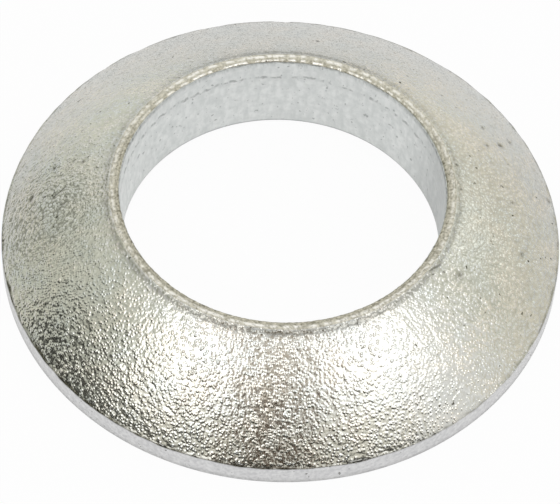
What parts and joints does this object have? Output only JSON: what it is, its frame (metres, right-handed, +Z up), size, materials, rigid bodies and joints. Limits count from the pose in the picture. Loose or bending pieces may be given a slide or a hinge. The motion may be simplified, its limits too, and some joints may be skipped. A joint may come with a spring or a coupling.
{
  "type": "spherical washer",
  "caption": "Zinc-plated steel ring washer with a flat foot, a bolt hole and a spherical upper face that tilts in a conical seat to take up an angle.",
  "frame": {"origin": "centre of the flat foot, on the hole's axis", "axes": "+Z up along the hole's axis, from the flat foot to the domed face; X and Y are alike"},
  "size_m": [0.036, 0.036, 0.0063],
  "materials": {
    "zinc_plated_steel": "bright zinc plate over a fine forged grain on the spherical face, satin on the rim and in the hole"
  },
  "bodies": {
    "root": {"spherical_washer": "zinc_plated_steel"}
  },
  "joints": []
}
